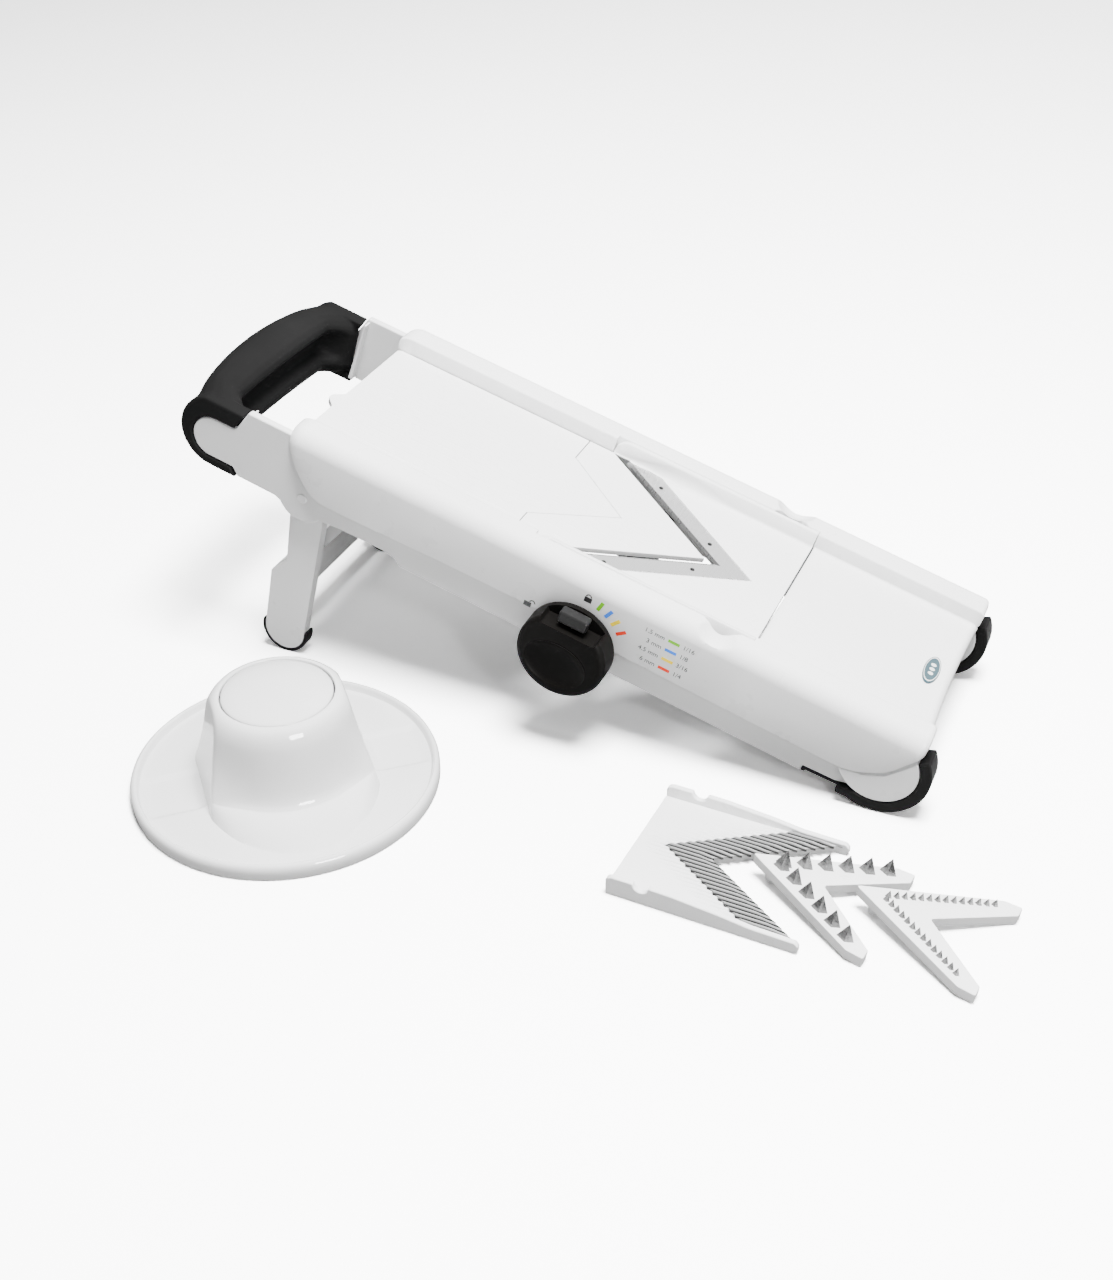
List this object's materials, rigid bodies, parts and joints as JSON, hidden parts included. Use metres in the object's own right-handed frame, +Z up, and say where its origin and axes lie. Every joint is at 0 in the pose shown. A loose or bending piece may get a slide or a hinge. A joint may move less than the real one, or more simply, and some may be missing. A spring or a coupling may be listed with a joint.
{
  "type": "mandoline slicer",
  "caption": "Mandoline slicer with a tilted deck on a folding leg, V blade insert, thickness knob and soft handle, beside its food holder and spare cutting inserts.",
  "frame": {"origin": "centre of the bounding box's bottom face, on the surface that everything stands on", "axes": "+X along the slicer from its handle towards its rear feet, +Y from the knob's side towards the far side, +Z up"},
  "size_m": [0.439, 0.2874, 0.1453],
  "materials": {
    "white_plastic": "satin white",
    "gloss_white": "polished white",
    "black_grip": "soft matte black",
    "black_rubber": "matte black",
    "dark_button": "satin dark grey",
    "steel": "brushed",
    "grey_plastic": "matte",
    "badge": "satin teal"
  },
  "bodies": {
    "slicer_body": {"upper_shell": "white_plastic", "near_cheek": "white_plastic", "far_cheek": "white_plastic", "handle_grip": "black_grip", "near_foot_tyre": "black_rubber", "far_foot_tyre": "black_rubber", "landing_badge": "badge", "belly_tray": "white_plastic", "front_tie_rod": "steel", "rear_tie_rod": "steel", "leg_pin_near": "grey_plastic", "leg_pin_far": "grey_plastic", "shaft_bush_near": "grey_plastic", "shaft_bush_far": "grey_plastic", "shell_screw_near_1": "steel", "shell_screw_near_2": "steel", "shell_screw_near_3": "steel", "shell_screw_far_1": "steel", "shell_screw_far_2": "steel", "shell_screw_far_3": "steel"},
    "leg": {"leg_frame": "white_plastic", "leg_shoe_near": "black_rubber", "leg_shoe_far": "black_rubber", "stay_pin_near": "steel", "stay_pin_far": "steel"},
    "stay": {"stay_link_near": "white_plastic", "stay_link_far": "white_plastic", "stay_slide_rod": "steel"},
    "lock_collar": {"lock_collar": "grey_plastic"},
    "knob": {"thickness_knob": "black_grip", "knob_shaft": "grey_plastic", "lift_cam_near": "grey_plastic", "lift_cam_far": "grey_plastic", "shaft_clip": "grey_plastic"},
    "button": {"knob_button": "dark_button"},
    "latch": {"insert_latch": "grey_plastic"},
    "runway": {"runway_plate": "white_plastic", "runway_nose": "white_plastic", "runway_carrier": "grey_plastic"},
    "blade_insert": {"insert_frame": "white_plastic", "v_blade": "steel", "blade_rivet_1": "steel", "blade_rivet_2": "steel", "blade_rivet_3": "steel", "blade_rivet_4": "steel"},
    "wavy_insert": {"wavy_insert_frame": "white_plastic", "wavy_blade": "steel"},
    "coarse_insert": {"coarse_insert_frame": "white_plastic", "coarse_teeth": "steel"},
    "fine_insert": {"fine_insert_frame": "white_plastic", "fine_teeth": "steel"},
    "food_holder": {"food_holder": "gloss_white", "stem_guide": "white_plastic", "plunger_spring": "steel"},
    "plunger": {"plunger_cap": "gloss_white", "plunger_stem": "white_plastic", "prong_plate": "white_plastic"}
  },
  "joints": [
    {"name": "leg_fold", "type": "hinge", "parent": "slicer_body", "child": "leg", "pos_m": [-0.15129, 0.0779, 0.09842], "axis": [0, -1, 0], "range_deg": [0, 83.7]},
    {"name": "stay_swing", "type": "hinge", "parent": "leg", "child": "stay", "pos_m": [-0.15837, 0.0779, 0.05905], "axis": [0, 1, 0], "range_deg": [0, 146.8]},
    {"name": "collar_turn", "type": "hinge", "parent": "slicer_body", "child": "lock_collar", "pos_m": [-0.00741, 0.0779, 0.05496], "axis": [0, 1, 0], "range_deg": [-72, 0]},
    {"name": "knob_turn", "type": "hinge", "parent": "lock_collar", "child": "knob", "pos_m": [-0.00741, 0.0779, 0.05496], "axis": [0, 1, 0], "range_deg": [0, 50]},
    {"name": "runway_slide", "type": "slide", "parent": "slicer_body", "child": "runway", "axis": [-0.284, 0, -0.9588], "range_m": [0, 0.006]},
    {"name": "latch_slide", "type": "slide", "parent": "slicer_body", "child": "latch", "axis": [-0.9588, 0, 0.284], "range_m": [0, 0.004]},
    {"name": "button_press", "type": "slide", "parent": "knob", "child": "button", "axis": [-0.284, 0, -0.9588], "range_m": [0, 0.0015], "stiffness_N_per_m": 300, "springref_m": -0.001},
    {"name": "insert_lift", "type": "slide", "parent": "slicer_body", "child": "blade_insert", "axis": [0.284, 0, 0.9588], "range_m": [0, 0.06]},
    {"name": "wavy_lift", "type": "slide", "parent": "slicer_body", "child": "wavy_insert", "axis": [0, 0, 1], "range_m": [0, 0.08]},
    {"name": "coarse_lift", "type": "slide", "parent": "slicer_body", "child": "coarse_insert", "axis": [0, 0, 1], "range_m": [0, 0.08]},
    {"name": "fine_lift", "type": "slide", "parent": "slicer_body", "child": "fine_insert", "axis": [0, 0, 1], "range_m": [0, 0.08]},
    {"name": "holder_lift", "type": "slide", "parent": "slicer_body", "child": "food_holder", "axis": [0, 0, 1], "range_m": [0, 0.08]},
    {"name": "plunger_slide", "type": "slide", "parent": "food_holder", "child": "plunger", "axis": [0, 0, 1], "range_m": [0, 0.018], "stiffness_N_per_m": 60, "springref_m": -0.006, "deforming": ["plunger_spring"]}
  ],
  "couplings": [
    {"joint": "stay_swing", "follows": "leg_fold", "ratio": 1.7527}
  ]
}
